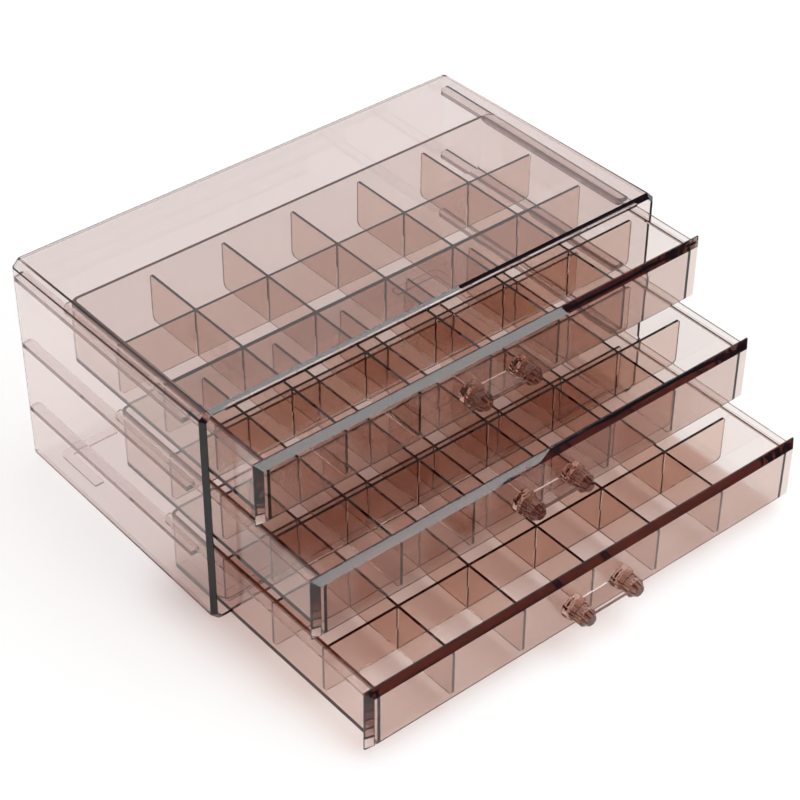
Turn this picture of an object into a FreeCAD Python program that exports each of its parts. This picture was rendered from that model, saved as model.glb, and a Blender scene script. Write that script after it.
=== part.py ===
import FreeCAD, Part
import math
import os

# Nail polish organizer: an open-fronted case of clear tinted plastic with three drawers that
# hang by their side flanges on rails, each drawer holding a loose grid of crossed dividers.
# +X is to the right, +Y to the back, +Z up; all sizes are in millimetres.
# The origin is on the ground, under the middle of the whole object as it is stored, with the
# drawers drawn out by their storage distances.

# Case
case_width = 240.0           # across the front rim
case_depth = 137.2
case_height = 109.8          # ground to the top of the front rim
case_corner = 3.8            # chamfer along the four long outer edges
case_inner_corner = 2.6
side_taper = 0.8             # each side comes in this much by the back
top_fall = 2.6               # the top comes down this much by the back
inner_top_fall = 2.4
side_wall = 2.3              # at the front rim
top_wall = 2.2               # at the front rim
floor_wall = 2.2
back_wall = 1.9
back_radius = 4.5            # around the outside of the back wall
back_inner_radius = 2.0      # inside, where the top and the sides meet the back wall
rim_bevel = 2.0              # around the outside of the front rim
lip_height = 0.75            # lip under the front edge of the top
lip_depth = 2.2
lip_foot = 0.6               # flat part of its underside, which rises behind that
lip_rise = 0.28
lip_half = 108.5
foot_height = 0.9
foot_width = 4.5
foot_leg = 28.5
foot_corner_radius = 4.0
foot_side_inset = 11.5
foot_end_inset = 8.0

# Rails inside the case, one pair for each drawer
rail_thickness = 2.4
rail_front_setback = 14.5    # front rim to the front end of a rail
rail_back_setback = 1.0      # back wall to the back end of a rail
rail_end_radius = 2.0

# Drawers, counted from the bottom
drawer_names = ["bottom", "middle", "top"]
storage_pull = {"bottom": 92.5, "middle": 61.0, "top": 27.8}
panel_gap = 4.0              # between one front panel and the next
lowest_panel_gap = 0.4       # case floor to the lowest panel
highest_panel_gap = 4.6      # highest panel to the underside of the case top
panel_side_clearance = 0.55  # panel end to the inside of the case wall
panel_edge = 0.7             # square-edged part of the panel's thickness
panel_bevel_depth = 2.6      # bevelled part of the panel's thickness
panel_bevel_width = 2.8
tray_rim_drop = 2.1          # panel top to the tray's rim
tray_wall = 1.5
tray_floor = 1.5
tray_corner_radius = 3.2
flange_width = 3.8
flange_thickness = 1.3
flange_drop = 0.3            # tray's rim to the top of the flange
flange_corner_radius = 3.4

# Clearances
flange_clearance = 2.0       # flange to the case wall
rail_side_clearance = 0.7    # rail to the tray's side
rail_clearance = 0.15        # under the flange
tray_back_clearance = 5.1    # tray to the case's back wall when shut
divider_end_clearance = 0.45
divider_slot_clearance = 0.1
divider_floor_clearance = 0.05
peg_clearance = 0.05
peg_end_clearance = 0.2
handle_seat_clearance = 0.05

# Dividers
cell_columns = 6
cell_rows = 4
divider_thickness = 1.3
divider_drop = 3.8           # tray's rim to the top of the dividers
divider_foot_chamfer = 1.5
divider_top_radius = 0.8

# Handles
knob_spacing = 26.4          # between the two knobs of a handle
handle_drop = 0.6            # below the middle of the panel
collar_width = 10.4          # across the flats of the eight-sided collar
collar_thickness = 2.9
barrel_radius = 4.4
barrel_flute_depth = 0.35
barrel_flutes = 16
barrel_length = 6.6
tip_radius = 2.5
tip_length = 2.5
web_thickness = 1.7
web_length = 9.4             # out from the panel
peg_radius = 1.6

# Worked out from the sizes above
case_half = case_width / 2
inner_half = case_half - side_wall
floor_top = foot_height + floor_wall
inner_top = case_height - top_wall
panel_stack = inner_top - highest_panel_gap - floor_top - lowest_panel_gap
panel_height = (panel_stack - (len(drawer_names) - 1) * panel_gap) / len(drawer_names)
drawer_pitch = panel_height + panel_gap
panel_thickness = panel_edge + panel_bevel_depth
panel_half = inner_half - panel_side_clearance
flange_half = inner_half - flange_clearance
tray_half = flange_half - flange_width
tray_inner_half = tray_half - tray_wall
tray_depth = case_depth - back_wall - tray_back_clearance
tray_inner_depth = tray_depth - tray_wall
tray_rim = panel_height - tray_rim_drop          # this and the next four above the panel's foot
flange_top = tray_rim - flange_drop
flange_bottom = flange_top - flange_thickness
divider_foot = tray_floor + divider_floor_clearance
divider_top = tray_rim - divider_drop
divider_height = divider_top - divider_foot
rail_half = tray_half + rail_side_clearance
knob_reach = collar_thickness + barrel_length + tip_length
handle_reach = handle_seat_clearance + knob_reach
front_reach = max(storage_pull.values()) + panel_thickness + handle_reach
case_front = (front_reach - case_depth) / 2
case_back = case_front + case_depth


def drawer_base(name):
    """Height of the foot of a drawer's panel."""
    return floor_top + lowest_panel_gap + drawer_names.index(name) * drawer_pitch


def drawer_front(name):
    """Where the back face of a drawer's panel stands when it is stored."""
    return case_front - storage_pull[name]


def block(x_low, x_high, y_low, y_high, z_low, z_high):
    corner = FreeCAD.Vector(x_low, y_low, z_low)
    return Part.makeBox(x_high - x_low, y_high - y_low, z_high - z_low, corner)


def prism(points, direction):
    """Solid swept along direction from the closed outline through points."""
    corners = [FreeCAD.Vector(*point) for point in points]
    return Part.Face(Part.makePolygon(corners + corners[:1])).extrude(FreeCAD.Vector(*direction))


def frustum(near, far):
    """Solid between two flat outlines whose edges run parallel, pair by pair."""
    outlines = [near, far]
    for index in range(len(near)):
        step = (index + 1) % len(near)
        outlines.append([near[index], near[step], far[step], far[index]])
    faces = [Part.Face(Part.makePolygon(outline + outline[:1])) for outline in outlines]
    shell = Part.makeShell(faces)
    shell.sewShape()
    solid = Part.Solid(shell)
    return solid if solid.Volume > 0 else solid.reversed()


def chamfered_section(y, half_width, z_low, z_high, corner):
    """Corners of an upright rectangle across the case with its four corners cut off."""
    points = [
        (half_width - corner, z_low),
        (half_width, z_low + corner),
        (half_width, z_high - corner),
        (half_width - corner, z_high),
    ]
    points += [(-x, z) for x, z in reversed(points)]
    return [FreeCAD.Vector(x, y, z) for x, z in points]


def outer_section(y, inset):
    """Outside of the case at y, drawn in by inset on every side."""
    share = (y - case_front) / case_depth
    half_width = case_half - side_taper * share - inset
    top = case_height - top_fall * share - inset
    corner = case_corner - (2 - math.sqrt(2)) * inset
    return chamfered_section(y, half_width, foot_height + inset, top, corner)


def inner_section(y):
    share = (y - case_front) / case_depth
    top = inner_top - inner_top_fall * share
    return chamfered_section(y, inner_half, floor_top, top, case_inner_corner)


def edges_along(shape, direction, place):
    """The straight edges of shape that run along direction through place."""
    found = []
    for edge in shape.Edges:
        offsets = [vertex.Point - place for vertex in edge.Vertexes]
        if all(offset.cross(direction).Length < 0.001 for offset in offsets):
            found.append(edge)
    return found


def upright_edges(shape, x, y):
    return edges_along(shape, FreeCAD.Vector(0, 0, 1), FreeCAD.Vector(x, y, 0))


def rail(side, name):
    """Ledge on one side wall of the case; its back end is rounded."""
    top = drawer_base(name) + flange_bottom - rail_clearance
    y_front = case_front + rail_front_setback
    y_back = case_back - back_wall - rail_back_setback
    root = inner_half + side_wall / 2
    ledge = block(rail_half, root, y_front, y_back, top - rail_thickness, top)
    ends = upright_edges(ledge, rail_half, y_back) + upright_edges(ledge, rail_half, y_front)
    ledge = ledge.makeFillet(rail_end_radius, ends)
    return ledge if side > 0 else ledge.mirror(FreeCAD.Vector(), FreeCAD.Vector(1, 0, 0))


def foot():
    """L-shaped foot at the back right corner, rounded at its bend."""
    x_high = case_half - foot_side_inset
    y_high = case_back - foot_end_inset
    root = foot_height + floor_wall / 2
    along = block(x_high - foot_leg, x_high, y_high - foot_width, y_high, 0, root)
    across = block(x_high - foot_width, x_high, y_high - foot_leg, y_high, 0, root)
    bend = along.fuse(across).removeSplitter()
    return bend.makeFillet(foot_corner_radius, upright_edges(bend, x_high, y_high))


def hollow():
    """Inside of the case, rounded where the top and the sides meet the back wall."""
    overshoot = 1.0
    y_end = case_back - back_wall
    solid = frustum(inner_section(case_front - overshoot), inner_section(y_end))
    rounded = []
    for edge in solid.Edges:
        middle = edge.CenterOfMass
        if abs(middle.y - y_end) < 0.001 and middle.z > floor_top + case_inner_corner:
            rounded.append(edge)
    return solid.makeFillet(back_inner_radius, rounded)


def lip():
    """Bar across the opening under the front edge of the top."""
    root = inner_top + top_wall / 4
    low = inner_top - lip_height
    y_foot = case_front + lip_foot
    y_back = case_front + lip_depth
    points = [(case_front, root), (case_front, low), (y_foot, low)]
    points += [(y_back, low + lip_rise), (y_back, root)]
    return prism([(-lip_half, y, z) for y, z in points], (2 * lip_half, 0, 0))


def case():
    y_bevel = case_front + rim_bevel
    rim = frustum(outer_section(case_front, rim_bevel), outer_section(y_bevel, 0))
    body = frustum(outer_section(y_bevel, 0), outer_section(case_back, 0))
    around_back = [edge for edge in body.Edges if abs(edge.BoundBox.YMin - case_back) < 0.001]
    body = body.makeFillet(back_radius, around_back)
    shell = body.fuse(rim).cut(hollow())
    middle = FreeCAD.Vector(0, (case_front + case_back) / 2, 0)
    right_foot = foot()
    left_foot = right_foot.mirror(FreeCAD.Vector(), FreeCAD.Vector(1, 0, 0))
    additions = [right_foot, left_foot, lip()]
    additions += [one.mirror(middle, FreeCAD.Vector(0, 1, 0)) for one in (right_foot, left_foot)]
    additions += [rail(side, name) for name in drawer_names for side in (-1, 1)]
    return shell.multiFuse(additions).removeSplitter()


def panel(y_back, z_low):
    """Front plate with square edges at the back and a wide bevel around its face."""
    z_high = z_low + panel_height
    y_bevel = y_back - panel_edge
    y_face = y_bevel - panel_bevel_depth
    plate = block(-panel_half, panel_half, y_bevel, y_back, z_low, z_high)
    rings = []
    for y, inset in ((y_bevel, 0.0), (y_face, panel_bevel_width)):
        half = panel_half - inset
        low = z_low + inset
        high = z_high - inset
        corners = [(-half, low), (half, low), (half, high), (-half, high)]
        rings.append([FreeCAD.Vector(x, y, z) for x, z in corners])
    return plate.fuse(frustum(*rings))


def flange(side, y_back, z_low):
    """Ledge along a tray's side that hangs on the rail; its back corner is rounded."""
    root = tray_half - tray_wall / 2
    y_end = y_back + tray_depth
    low = z_low + flange_bottom
    ledge = block(root, flange_half, y_back - panel_edge / 2, y_end, low, low + flange_thickness)
    ledge = ledge.makeFillet(flange_corner_radius, upright_edges(ledge, flange_half, y_end))
    return ledge if side > 0 else ledge.mirror(FreeCAD.Vector(), FreeCAD.Vector(1, 0, 0))


def handle_axis_height(name):
    return drawer_base(name) + panel_height / 2 - handle_drop


def drawer(name):
    """Tray, side flanges and front panel, moulded in one."""
    y_back = drawer_front(name)
    z_low = drawer_base(name)
    y_end = y_back + tray_depth
    rim = z_low + tray_rim
    tray = block(-tray_half, tray_half, y_back - panel_edge / 2, y_end, z_low, rim)
    corners = upright_edges(tray, tray_half, y_end) + upright_edges(tray, -tray_half, y_end)
    tray = tray.makeFillet(tray_corner_radius, corners)
    y_inside = y_back + tray_inner_depth
    inside = block(-tray_inner_half, tray_inner_half, y_back, y_inside, z_low + tray_floor, rim + 1)
    inner_radius = max(tray_corner_radius - tray_wall, 0.3)
    corners = upright_edges(inside, tray_inner_half, y_inside)
    corners += upright_edges(inside, -tray_inner_half, y_inside)
    tray = tray.cut(inside.makeFillet(inner_radius, corners))
    flanges = [flange(side, y_back, z_low) for side in (-1, 1)]
    solid = tray.multiFuse([panel(y_back, z_low)] + flanges)
    hole_radius = peg_radius + peg_clearance
    z_hole = handle_axis_height(name)
    for side in (-1, 1):
        mouth = FreeCAD.Vector(side * knob_spacing / 2, y_back - panel_thickness, z_hole)
        hole = Part.makeCylinder(hole_radius, panel_thickness, mouth, FreeCAD.Vector(0, 1, 0))
        solid = solid.cut(hole)
    return solid.removeSplitter()


def ring(x, y, z, radii, turn):
    """Corners around a knob's axis, one for each radius."""
    corners = []
    for step, radius in enumerate(radii):
        angle = 2 * math.pi * (step + turn) / len(radii)
        corners.append(FreeCAD.Vector(x + radius * math.cos(angle), y, z + radius * math.sin(angle)))
    return corners


def knob(x, y, z):
    """Eight-sided collar, fluted barrel and bevelled tip, with the peg that goes into the panel."""
    outward = FreeCAD.Vector(0, -1, 0)
    collar_radius = collar_width / 2 / math.cos(math.pi / 8)
    collar = prism(ring(x, y, z, [collar_radius] * 8, 0.5), outward * collar_thickness)
    y_barrel = y - collar_thickness
    y_tip = y_barrel - barrel_length
    flutes = [barrel_radius, barrel_radius - barrel_flute_depth] * barrel_flutes
    barrel = prism(ring(x, y_barrel, z, flutes, 0), outward * barrel_length)
    shoulder_radius = barrel_radius - barrel_flute_depth
    shoulder = ring(x, y_tip, z, [shoulder_radius] * 8, 0.5)
    tip = frustum(shoulder, ring(x, y_tip - tip_length, z, [tip_radius] * 8, 0.5))
    peg_length = panel_thickness + handle_seat_clearance - peg_end_clearance
    peg = Part.makeCylinder(peg_radius, peg_length, FreeCAD.Vector(x, y, z), FreeCAD.Vector(0, 1, 0))
    return collar.multiFuse([barrel, tip, peg])


def handle(name):
    """Two knobs joined by a flat web."""
    z = handle_axis_height(name)
    y = drawer_front(name) - panel_thickness - handle_seat_clearance
    half = knob_spacing / 2
    half_web = web_thickness / 2
    web = block(-half, half, y - web_length, y, z - half_web, z + half_web)
    return web.multiFuse([knob(-half, y, z), knob(half, y, z)]).removeSplitter()


def column_edge(index):
    """Where a line between two columns of cells runs, for index 1 and up."""
    return -tray_inner_half + 2 * tray_inner_half * index / cell_columns


def row_edge(name, index):
    return drawer_front(name) + tray_inner_depth * index / cell_rows


def strip(length, slots, slots_open_up):
    """Divider lying along +X from 0, thickness centred on Y, foot at Z 0."""
    cut = divider_foot_chamfer
    half = divider_thickness / 2
    points = [(0, cut), (cut, 0), (length - cut, 0), (length, cut)]
    points += [(length, divider_height), (0, divider_height)]
    plate = prism([(x, -half, z) for x, z in points], (0, divider_thickness, 0))
    through = FreeCAD.Vector(0, 1, 0)
    tops = edges_along(plate, through, FreeCAD.Vector(0, 0, divider_height))
    tops += edges_along(plate, through, FreeCAD.Vector(length, 0, divider_height))
    plate = plate.makeFillet(divider_top_radius, tops)
    slot_half = half + divider_slot_clearance
    middle = divider_height / 2
    low = middle - divider_slot_clearance / 2 if slots_open_up else -1.0
    high = divider_height + 1.0 if slots_open_up else middle + divider_slot_clearance / 2
    for x in slots:
        slot = block(x - slot_half, x + slot_half, -divider_thickness, divider_thickness, low, high)
        plate = plate.cut(slot)
    return plate


def long_divider(name, index):
    """Divider from side to side of the drawer, slotted from below."""
    start = -tray_inner_half + divider_end_clearance
    length = -2 * start
    slots = [column_edge(column) - start for column in range(1, cell_columns)]
    piece = strip(length, slots, False)
    piece.translate(FreeCAD.Vector(start, row_edge(name, index), drawer_base(name) + divider_foot))
    return piece


def cross_divider(name, index):
    """Divider from front to back of the drawer, slotted from above."""
    start = drawer_front(name) + divider_end_clearance
    length = tray_inner_depth - 2 * divider_end_clearance
    slots = [row_edge(name, row) - start for row in range(1, cell_rows)]
    piece = strip(length, slots, True)
    piece.rotate(FreeCAD.Vector(), FreeCAD.Vector(0, 0, 1), 90)
    piece.translate(FreeCAD.Vector(column_edge(index), start, drawer_base(name) + divider_foot))
    return piece


def all_pieces():
    pieces = {"case": case()}
    for name in drawer_names:
        pieces[name + "_drawer"] = drawer(name)
        pieces[name + "_handle"] = handle(name)
        for index in range(1, cell_rows):
            pieces["%s_long_divider_%d" % (name, index)] = long_divider(name, index)
        for index in range(1, cell_columns):
            pieces["%s_cross_divider_%d" % (name, index)] = cross_divider(name, index)
    return pieces


os.makedirs("parts", exist_ok=True)
for node, shape in all_pieces().items():
    solid = shape.Solids[0] if len(shape.Solids) == 1 else shape
    solid.exportStep("parts/%s.step" % node)
    box = solid.BoundBox
    state = "valid" if solid.isValid() else "NOT valid"
    place = "x %.2f..%.2f y %.2f..%.2f" % (box.XMin, box.XMax, box.YMin, box.YMax)
    print(node, len(shape.Solids), "solid,", state, place, "z %.2f..%.2f" % (box.ZMin, box.ZMax))
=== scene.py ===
import math

import bpy
from mathutils import Matrix, Vector


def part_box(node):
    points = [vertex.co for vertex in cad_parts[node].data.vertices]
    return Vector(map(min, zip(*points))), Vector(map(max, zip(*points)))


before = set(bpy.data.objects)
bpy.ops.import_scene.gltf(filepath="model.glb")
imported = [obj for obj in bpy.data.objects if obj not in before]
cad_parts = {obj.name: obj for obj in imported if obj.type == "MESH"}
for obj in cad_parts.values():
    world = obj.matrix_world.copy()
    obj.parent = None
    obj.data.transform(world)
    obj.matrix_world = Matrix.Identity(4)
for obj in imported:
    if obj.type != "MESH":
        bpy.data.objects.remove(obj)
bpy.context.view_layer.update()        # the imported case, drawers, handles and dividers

scene = bpy.context.scene
drawerNames = ["bottom", "middle", "top"]
print("frame loaded,", len(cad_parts), "pieces")


# helpers

def newMaterial(name):
    material = bpy.data.materials.new(name)
    material.use_nodes = True
    material.node_tree.nodes.clear()
    return material


def addNode(tree, kind, sockets=None, **settings):
    # sockets gives the values of its unlinked sockets, by name or number
    node = tree.nodes.new(kind)
    for key, value in settings.items():
        setattr(node, key, value)
    for key, value in (sockets or {}).items():
        node.inputs[key].default_value = value
    return node


def link(tree, source, output, target, entry):
    tree.links.new(source.outputs[output], target.inputs[entry])


def towards(azimuth, elevation):
    # degrees from the view straight at the front, and above the ground
    a, e = math.radians(azimuth), math.radians(elevation)
    return Vector((math.sin(a) * math.cos(e), -math.cos(a) * math.cos(e), math.sin(e)))


def middleOf(node):
    low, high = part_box(node)
    return tuple((l + h) / 2 for l, h in zip(low, high))


# camera

cameraSettings = {
    "place": (-0.48290, -0.56207, 0.64630),
    "azimuth": -40.06,
    "elevation": 38.96,
    "roll": 0.46,
    "lens": 101.488, "sensor": 36,            # mm
    "nearest": 0.01, "farthest": 50,
}


def makeCamera(values):
    azimuth, roll = math.radians(values["azimuth"]), math.radians(values["roll"])
    back = towards(values["azimuth"], values["elevation"])
    right = Vector((math.cos(azimuth), math.sin(azimuth), 0))
    up = back.cross(right)
    turnedRight = right * math.cos(roll) + up * math.sin(roll)
    turnedUp = up * math.cos(roll) - right * math.sin(roll)
    data = bpy.data.cameras.new("camera")
    data.lens = values["lens"]
    data.sensor_width = values["sensor"]
    data.clip_start = values["nearest"]
    data.clip_end = values["farthest"]
    camera = bpy.data.objects.new("camera", data)
    scene.collection.objects.link(camera)
    turn = Matrix((turnedRight, turnedUp, back)).transposed().to_4x4()
    camera.matrix_world = Matrix.Translation(values["place"]) @ turn
    scene.camera = camera


makeCamera(cameraSettings)
print("camera ready")


# the clear tinted plastic of all pieces

plasticBase = {
    "ior": 1.5,
    "haze": {"scale": (35.0, 35.0, 35.0), "detail": 3.0, "from": 0.42, "to": 0.75, "most": 0.012},
    "scratchAlong": {
        "scale": (14.0, 900.0, 14.0), "turn": (0.0, 0.0, 0.35), "detail": 2.0,
        "from": 0.69, "to": 0.72, "most": 0.07,
    },
    "scratchAcross": {
        "scale": (1100.0, 18.0, 18.0), "turn": (0.2, 0.0, -0.5), "detail": 2.0,
        "from": 0.70, "to": 0.73, "most": 0.07,
    },
    "scratchDepth": 0.000004, "scratchStrength": 0.6,
    "fingerMarks": {
        "scale": (190.0, 190.0, 190.0), "detail": 4.0, "from": 0.45, "to": 0.7, "most": 0.05,
    },
    "touched": [],                            # places with finger marks, and how far they reach
    "waveScale": (42.0, 42.0, 42.0), "waveHeight": 0.00012,
}


def noisePart(tree, values):
    # nothing where the noise is below "from", rising to "most" where it is at "to"
    places = addNode(tree, "ShaderNodeTexCoord")
    spread = addNode(tree, "ShaderNodeMapping", {
        "Rotation": values.get("turn", (0.0, 0.0, 0.0)), "Scale": values["scale"],
    })
    noise = addNode(tree, "ShaderNodeTexNoise", {"Scale": 1.0, "Detail": values["detail"]})
    part = addNode(tree, "ShaderNodeMapRange", {
        "From Min": values["from"], "From Max": values["to"],
        "To Min": 0.0, "To Max": values["most"],
    })
    link(tree, places, "Object", spread, "Vector")
    link(tree, spread, "Vector", noise, "Vector")
    link(tree, noise, "Fac", part, "Value")
    return part


def smudge(tree, place, reach, marks):
    # finger marks fade out around a place that gets touched
    solidShare = 0.3                          # of the reach has them in full
    places = addNode(tree, "ShaderNodeTexCoord")
    away = addNode(tree, "ShaderNodeVectorMath", {1: place}, operation="DISTANCE")
    near = addNode(tree, "ShaderNodeMapRange", {
        "From Min": reach * solidShare, "From Max": reach, "To Min": 1.0, "To Max": 0.0,
    })
    fingers = noisePart(tree, marks)
    both = addNode(tree, "ShaderNodeMath", operation="MULTIPLY")
    link(tree, places, "Object", away, 0)
    link(tree, away, "Value", near, "Value")
    link(tree, near, 0, both, 0)
    link(tree, fingers, 0, both, 1)
    return both


def addParts(tree, parts):
    total = parts[0]
    for part in parts[1:]:
        both = addNode(tree, "ShaderNodeMath", operation="ADD")
        link(tree, total, 0, both, 0)
        link(tree, part, 0, both, 1)
        total = both
    return total


def clearPlastic(name, values):
    material = newMaterial(name)
    tree = material.node_tree
    out = addNode(tree, "ShaderNodeOutputMaterial")
    plastic = addNode(tree, "ShaderNodeBsdfPrincipled", {
        "Base Color": (1, 1, 1, 1), "Transmission Weight": 1.0, "IOR": values["ior"],
    })

    # roughness: faint haze, hairline scratches in two directions, finger marks
    haze = noisePart(tree, values["haze"])
    scratches = [noisePart(tree, values["scratchAlong"]), noisePart(tree, values["scratchAcross"])]
    fingers = [smudge(tree, place, reach, values["fingerMarks"]) for place, reach in values["touched"]]
    link(tree, addParts(tree, [haze] + scratches + fingers), 0, plastic, "Roughness")

    # the moulded faces are slightly wavy, and the scratches are cut in
    waveNoise = {"scale": values["waveScale"], "detail": 1.0, "from": 0.0, "to": 1.0, "most": 1.0}
    waves = noisePart(tree, waveNoise)
    wavy = addNode(tree, "ShaderNodeBump", {"Strength": 1.0, "Distance": values["waveHeight"]})
    cut = addNode(tree, "ShaderNodeBump", {
        "Strength": values["scratchStrength"], "Distance": values["scratchDepth"],
    }, invert=True)
    link(tree, waves, 0, wavy, "Height")
    link(tree, addParts(tree, scratches), 0, cut, "Height")
    link(tree, wavy, "Normal", cut, "Normal")
    link(tree, cut, "Normal", plastic, "Normal")

    # light from the lamps passes on to what is behind
    through = addNode(tree, "ShaderNodeBsdfTransparent", {"Color": (*values["shadow"], 1)})
    path = addNode(tree, "ShaderNodeLightPath")
    mix = addNode(tree, "ShaderNodeMixShader")
    link(tree, path, "Is Shadow Ray", mix, 0)
    link(tree, plastic, "BSDF", mix, 1)
    link(tree, through, "BSDF", mix, 2)
    link(tree, mix, "Shader", out, "Surface")

    # thick parts and edges seen lengthwise go darker
    tint = addNode(tree, "ShaderNodeVolumeAbsorption", {
        "Color": (*values["tint"], 1), "Density": values["density"],
    })
    link(tree, tint, "Volume", out, "Volume")
    return material


def dress(pieces, material):
    for piece in pieces:
        piece.data.materials.clear()
        piece.data.materials.append(material)


def piecesNamed(word):
    return [piece for name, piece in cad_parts.items() if word in name]


# case

caseSettings = {
    "tint": (0.45, 0.08, 0.0), "density": 85.0,
    "shadow": (0.99, 0.98, 0.975),
    "waveScale": (22.0, 22.0, 22.0),
}

dress(piecesNamed("case"), clearPlastic("case clear plastic", {**plasticBase, **caseSettings}))
print("case dressed")


# handles

handleSettings = {
    "tint": (0.56, 0.21, 0.06), "density": 145.0,
    "shadow": (0.97, 0.95, 0.94),
    "waveScale": (150.0, 150.0, 150.0), "waveHeight": 0.00002,
}

dress(piecesNamed("handle"), clearPlastic("handle clear plastic", {**plasticBase, **handleSettings}))
print("handles dressed")


# dividers

dividerSettings = {
    "tint": (0.56, 0.20, 0.0), "density": 320.0,
    "shadow": (0.97, 0.94, 0.93),
}

dress(piecesNamed("divider"), clearPlastic("divider clear plastic", {**plasticBase, **dividerSettings}))
print("dividers dressed")


# drawers, each with finger marks round its own handle

drawerSettings = {
    "tint": (0.48, 0.14, 0.0), "density": 120.0,
    "shadow": (0.975, 0.93, 0.91),
    "touchReach": 0.07,
}

for drawer in drawerNames:
    touched = [(middleOf(drawer + "_handle"), drawerSettings["touchReach"])]
    values = {**plasticBase, **drawerSettings, "touched": touched}
    dress(piecesNamed(drawer + "_drawer"), clearPlastic(drawer + "_drawer clear plastic", values))
print("drawers dressed")


# clear pieces stand one behind the other, so light needs many bounces
scene.cycles.max_bounces = 40
scene.cycles.transmission_bounces = 40
scene.cycles.glossy_bounces = 24
scene.cycles.diffuse_bounces = 4
scene.cycles.transparent_max_bounces = 80
scene.cycles.caustics_refractive = False
scene.cycles.caustics_reflective = False
scene.cycles.sample_clamp_direct = 8.0        # above the softbox's glow, so that only sparkle goes


# floor

floorSettings = {
    "half": 6.0, "drop": 0.0002,
    "paint": (0.93, 0.93, 0.93),
    "paintedShadeWhite": 0.23, "openWhite": 0.72,     # share of plain white glow, lower under the part as painted shade and higher away from it, where it also paints light into the part's cast shadow
    "middle": (0.0, -0.055, 0.0),             # middle of the painted-shade box on the ground under the part
    # size of the painted-shade box, and how far its edge fades into the open white
    "reach": (0.107, 0.058, 1.0), "fade": 0.042,
}


def whiteShareWithPaintedShade(tree, values):
    # plain white for what is seen directly, in gloss or through the plastic
    path = addNode(tree, "ShaderNodeLightPath")
    seen = addNode(tree, "ShaderNodeMath", operation="MAXIMUM")
    either = addNode(tree, "ShaderNodeMath", operation="MAXIMUM")
    link(tree, path, "Is Glossy Ray", seen, 0)
    link(tree, path, "Is Transmission Ray", seen, 1)
    link(tree, path, "Is Camera Ray", either, 0)
    link(tree, seen, 0, either, 1)

    # painted shade: less white glow on the ground under the part, by the distance outside a box
    places = addNode(tree, "ShaderNodeTexCoord")
    aside = addNode(tree, "ShaderNodeVectorMath", {1: values["middle"]}, operation="SUBTRACT")
    size = addNode(tree, "ShaderNodeVectorMath", operation="ABSOLUTE")
    past = addNode(tree, "ShaderNodeVectorMath", {1: values["reach"]}, operation="SUBTRACT")
    outside = addNode(tree, "ShaderNodeVectorMath", {1: (0.0, 0.0, 0.0)}, operation="MAXIMUM")
    away = addNode(tree, "ShaderNodeVectorMath", operation="LENGTH")
    part = addNode(tree, "ShaderNodeMapRange", {
        "From Max": values["fade"], "To Min": values["paintedShadeWhite"], "To Max": values["openWhite"],
    }, interpolation_type="SMOOTHSTEP")
    link(tree, places, "Object", aside, 0)
    link(tree, aside, 0, size, 0)
    link(tree, size, 0, past, 0)
    link(tree, past, 0, outside, 0)
    link(tree, outside, 0, away, 0)
    link(tree, away, "Value", part, "Value")
    share = addNode(tree, "ShaderNodeMath", operation="MULTIPLY")
    link(tree, either, 0, share, 0)
    link(tree, part, 0, share, 1)
    return share


def makeFloor(values):
    half = values["half"]
    corners = [(-half, -half, 0), (half, -half, 0), (half, half, 0), (-half, half, 0)]
    mesh = bpy.data.meshes.new("floor")
    mesh.from_pydata(corners, [], [(0, 1, 2, 3)])
    floor = bpy.data.objects.new("floor", mesh)
    scene.collection.objects.link(floor)
    floor.location.z = -values["drop"]
    material = newMaterial("pale floor")
    tree = material.node_tree
    out = addNode(tree, "ShaderNodeOutputMaterial")
    paint = addNode(tree, "ShaderNodeBsdfDiffuse", {"Color": (*values["paint"], 1)})
    white = addNode(tree, "ShaderNodeEmission")
    mix = addNode(tree, "ShaderNodeMixShader")
    # white glow for the backdrop, with painted shade on the ground under the part
    link(tree, whiteShareWithPaintedShade(tree, values), 0, mix, 0)
    link(tree, paint, "BSDF", mix, 1)
    link(tree, white, "Emission", mix, 2)
    link(tree, mix, "Shader", out, "Surface")
    mesh.materials.append(material)


makeFloor(floorSettings)
print("floor ready")


# studio: what lies beyond the floor, and the lamps

worldSettings = {
    "diffuse": 0.06,                          # the lamps light the part, not the world
    "back": (0.92, 0.94, 0.97),               # what gloss shows behind the part
    "front": (0.17, 0.14, 0.19),              # and the darker room in front of it
    "turnsAt": (0.42, 0.62),                  # from front to back, 0 to 1
    "through": 0.55,                          # how much of that shows through clear edges
}


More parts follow.
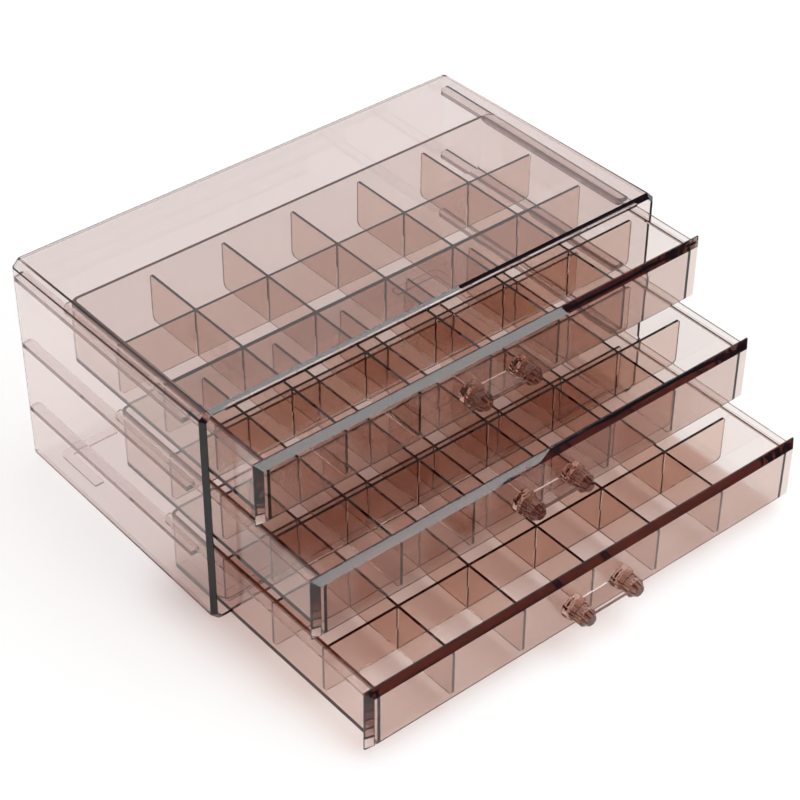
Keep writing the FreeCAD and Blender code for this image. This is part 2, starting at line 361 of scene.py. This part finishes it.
def makeWorld(values):
    world = bpy.data.worlds.new("studio")
    scene.world = world
    world.use_nodes = True
    tree = world.node_tree
    tree.nodes.clear()
    out = addNode(tree, "ShaderNodeOutputWorld")
    light = addNode(tree, "ShaderNodeBackground", {"Strength": values["diffuse"]})
    room = addNode(tree, "ShaderNodeBackground")
    beyond = addNode(tree, "ShaderNodeBackground", {"Strength": values["through"]})
    white = addNode(tree, "ShaderNodeBackground", {"Color": (1, 1, 1, 1)})

    # the room goes from dark in front to pale at the back
    places = addNode(tree, "ShaderNodeTexCoord")
    axes = addNode(tree, "ShaderNodeSeparateXYZ")
    shift = addNode(tree, "ShaderNodeMapRange", {"From Min": -1.0, "From Max": 1.0})
    ramp = addNode(tree, "ShaderNodeValToRGB")
    for stop, at, colour in zip(ramp.color_ramp.elements, values["turnsAt"], ("front", "back")):
        stop.position = at
        stop.color = (*values[colour], 1)
    link(tree, places, "Generated", axes, "Vector")
    link(tree, axes, "Y", shift, "Value")
    link(tree, shift, 0, ramp, "Fac")
    link(tree, ramp, "Color", room, "Color")
    link(tree, ramp, "Color", beyond, "Color")

    path = addNode(tree, "ShaderNodeLightPath")
    last = light
    rays = (("Is Glossy Ray", room), ("Is Transmission Ray", beyond), ("Is Camera Ray", white))
    for ray, sky in rays:
        mix = addNode(tree, "ShaderNodeMixShader")
        link(tree, path, ray, mix, 0)
        link(tree, last, 0, mix, 1)
        link(tree, sky, 0, mix, 2)
        last = mix
    link(tree, last, "Shader", out, "Surface")


softboxSettings = {
    "azimuth": 33.0, "elevation": 40.0, "distance": 1.8,
    "aim": (0, -0.04, 0.08),
    "right": -0.162, "up": 0.048,             # shift in the softbox's own plane
    "width": 0.875, "height": 0.804, "glow": 5.5,
}


def makeSoftbox(values):
    # it shows as grey in the left half of the case's rim and of the two upper panels' top bevels
    direction = towards(values["azimuth"], values["elevation"])
    right = Vector((0, 0, 1)).cross(direction).normalized()
    up = direction.cross(right)
    data = bpy.data.lights.new("softbox", "AREA")
    data.shape = "RECTANGLE"
    data.size = values["width"]
    data.size_y = values["height"]
    data.energy = values["glow"] * math.pi * values["width"] * values["height"]
    lamp = bpy.data.objects.new("softbox", data)
    scene.collection.objects.link(lamp)
    place = Vector(values["aim"]) + direction * values["distance"]
    place = place + right * values["right"] + up * values["up"]
    turn = Matrix((right, up, direction)).transposed().to_4x4()
    lamp.matrix_world = Matrix.Translation(place) @ turn
    lamp.visible_transmission = False


sunSettings = {
    "side light": {"azimuth": 80, "elevation": 66, "spread": 50, "strength": 0.55},
    "overhead light": {"azimuth": 0, "elevation": 90, "spread": 140, "strength": 0.45},
}


def makeSun(name, values):
    data = bpy.data.lights.new(name, "SUN")
    data.angle = math.radians(values["spread"])
    data.energy = values["strength"] * math.pi
    data.cycles.use_multiple_importance_sampling = False    # stays out of the reflections
    lamp = bpy.data.objects.new(name, data)
    scene.collection.objects.link(lamp)
    direction = towards(values["azimuth"], values["elevation"])
    lamp.rotation_euler = direction.to_track_quat("Z", "Y").to_euler()


makeWorld(worldSettings)
makeSoftbox(softboxSettings)
for name, values in sunSettings.items():
    makeSun(name, values)
print("studio ready")

scene.view_settings.view_transform = "Standard"
